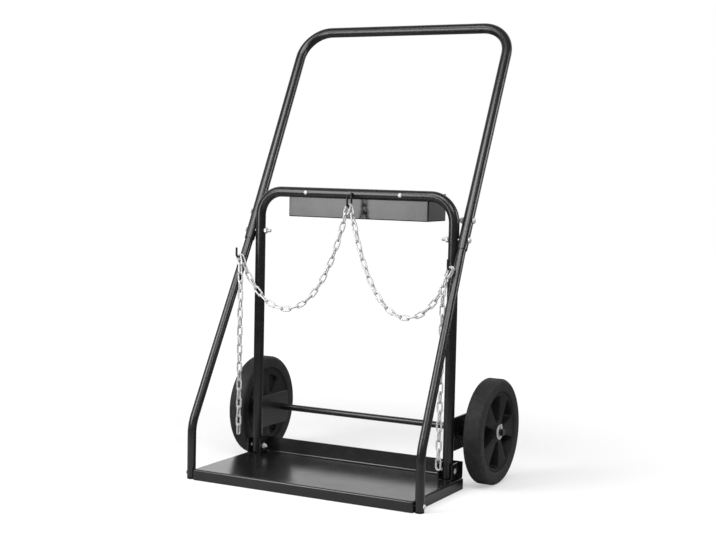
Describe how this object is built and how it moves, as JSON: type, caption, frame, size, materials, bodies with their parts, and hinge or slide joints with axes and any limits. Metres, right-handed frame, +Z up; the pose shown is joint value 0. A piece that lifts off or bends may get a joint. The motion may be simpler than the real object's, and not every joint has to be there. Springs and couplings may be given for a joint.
{
  "type": "welding cart",
  "caption": "Two-wheeled cart for gas cylinders: a low steel tray, bent-tube back frame and raked handle, an open tool box, and hanging chains that hold the cylinders.",
  "frame": {"origin": "on the floor, under the middle of the cart's bounding box", "axes": "+Z up, +X to the right of someone facing the cart's front, +Y to its back, where the wheels and the handle are"},
  "size_m": [0.712, 0.515, 1.1115],
  "materials": {
    "coat": "black powder coat, semi-gloss",
    "zinc": "bright zinc plate",
    "tyre": "matt dark rubber",
    "plastic": "moulded black plastic"
  },
  "bodies": {
    "cart": {"base_tray": "coat", "rear_frame": "coat", "handle": "coat", "tool_box": "coat", "axle": "coat", "centre_hook": "coat", "left_strut": "coat", "left_foot_plug": "plastic", "left_leg_bracket": "coat", "left_axle_plate": "coat", "left_chain_hook": "coat", "left_inner_washer": "zinc", "left_outer_washer": "zinc", "left_cotter_pin": "zinc", "left_upper_joint_bolt": "zinc", "left_upper_joint_nut": "zinc", "left_lower_joint_bolt": "zinc", "left_lower_joint_nut": "zinc", "left_leg_foot_bolt": "zinc", "left_leg_foot_nut": "zinc", "left_strut_foot_bolt": "zinc", "left_strut_foot_nut": "zinc", "left_box_bolt": "zinc", "left_box_nut": "zinc", "right_strut": "coat", "right_foot_plug": "plastic", "right_leg_bracket": "coat", "right_axle_plate": "coat", "right_chain_hook": "coat", "right_inner_washer": "zinc", "right_outer_washer": "zinc", "right_cotter_pin": "zinc", "right_upper_joint_bolt": "zinc", "right_upper_joint_nut": "zinc", "right_lower_joint_bolt": "zinc", "right_lower_joint_nut": "zinc", "right_leg_foot_bolt": "zinc", "right_leg_foot_nut": "zinc", "right_strut_foot_bolt": "zinc", "right_strut_foot_nut": "zinc", "right_box_bolt": "zinc", "right_box_nut": "zinc"},
    "left_wheel": {"left_tyre": "tyre", "left_rim": "plastic"},
    "left_swag": {"left_chain_swag": "zinc"},
    "left_tail": {"left_chain_tail": "zinc"},
    "right_wheel": {"right_tyre": "tyre", "right_rim": "plastic"},
    "right_swag": {"right_chain_swag": "zinc"},
    "right_tail": {"right_chain_tail": "zinc"}
  },
  "joints": [
    {"name": "left_wheel_spin", "type": "hinge", "parent": "cart", "child": "left_wheel", "pos_m": [-0.3239, 0.1033, 0.127], "axis": [1, 0, 0], "continuous": true},
    {"name": "left_swag_swing", "type": "hinge", "parent": "cart", "child": "left_swag", "pos_m": [0, -0.043, 0.657], "axis": [-0.903, -0.0789, -0.4222], "range_deg": [-5, 5]},
    {"name": "left_tail_swing", "type": "hinge", "parent": "cart", "child": "left_tail", "pos_m": [-0.28444, -0.07885, 0.524], "axis": [0, 1, 0], "range_deg": [-35, 0]},
    {"name": "right_wheel_spin", "type": "hinge", "parent": "cart", "child": "right_wheel", "pos_m": [0.3239, 0.1033, 0.127], "axis": [1, 0, 0], "continuous": true},
    {"name": "right_swag_swing", "type": "hinge", "parent": "cart", "child": "right_swag", "pos_m": [0, -0.036, 0.657], "axis": [0.9012, -0.1009, -0.4214], "range_deg": [-5, 5]},
    {"name": "right_tail_swing", "type": "hinge", "parent": "cart", "child": "right_tail", "pos_m": [0.28444, -0.07885, 0.524], "axis": [0, 1, 0], "range_deg": [0, 35]}
  ]
}
